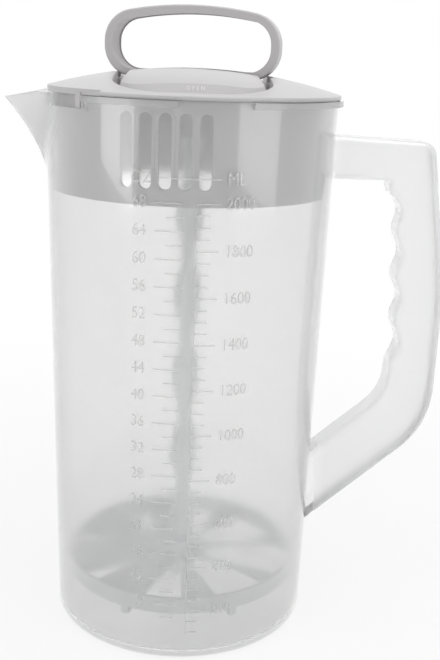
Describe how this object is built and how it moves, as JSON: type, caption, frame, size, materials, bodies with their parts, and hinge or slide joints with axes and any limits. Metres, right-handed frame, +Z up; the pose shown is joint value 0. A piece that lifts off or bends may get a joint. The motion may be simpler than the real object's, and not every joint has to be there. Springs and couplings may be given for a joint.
{
  "type": "mixing pitcher",
  "caption": "Clear lidded pitcher with a side handle and spout, and a mixing wheel on a twisted shaft that spins as its loop handle is lifted and pushed.",
  "frame": {"origin": "centre of the underside of the jug's base", "axes": "+Z up, +X from the spout to the handle, the volume scale faces -Y"},
  "size_m": [0.1927, 0.1276, 0.272],
  "materials": {
    "clear_plastic": "clear, glossy",
    "lid_plastic": "satin",
    "loop_plastic": "satin",
    "strainer_plastic": "satin",
    "drive_plastic": "matt",
    "mixer_plastic": "satin"
  },
  "bodies": {
    "jug": {"jug_body": "clear_plastic"},
    "lid": {"lid_shell": "lid_plastic", "strainer_sleeve": "strainer_plastic", "drive_nut": "drive_plastic", "nut_retainer": "drive_plastic"},
    "plunger": {"loop_handle": "loop_plastic", "swivel_washers": "drive_plastic"},
    "rotor": {"twisted_shaft": "mixer_plastic", "mixing_wheel": "mixer_plastic", "wheel_cap": "mixer_plastic", "swivel_pin": "loop_plastic"}
  },
  "joints": [
    {"name": "lid_turn", "type": "hinge", "parent": "jug", "child": "lid", "pos_m": [0, 0, 0.236], "axis": [0, 0, 1], "range_deg": [-88.3, 0]},
    {"name": "plunger_slide", "type": "slide", "parent": "lid", "child": "plunger", "axis": [0, 0, 1], "range_m": [0, 0.185]},
    {"name": "shaft_spin", "type": "hinge", "parent": "plunger", "child": "rotor", "pos_m": [0, 0, 0.242], "axis": [0, 0, 1], "range_deg": [0, 901]}
  ],
  "couplings": [
    {"joint": "shaft_spin", "follows": "plunger_slide", "rad_per_m": 84.908}
  ]
}
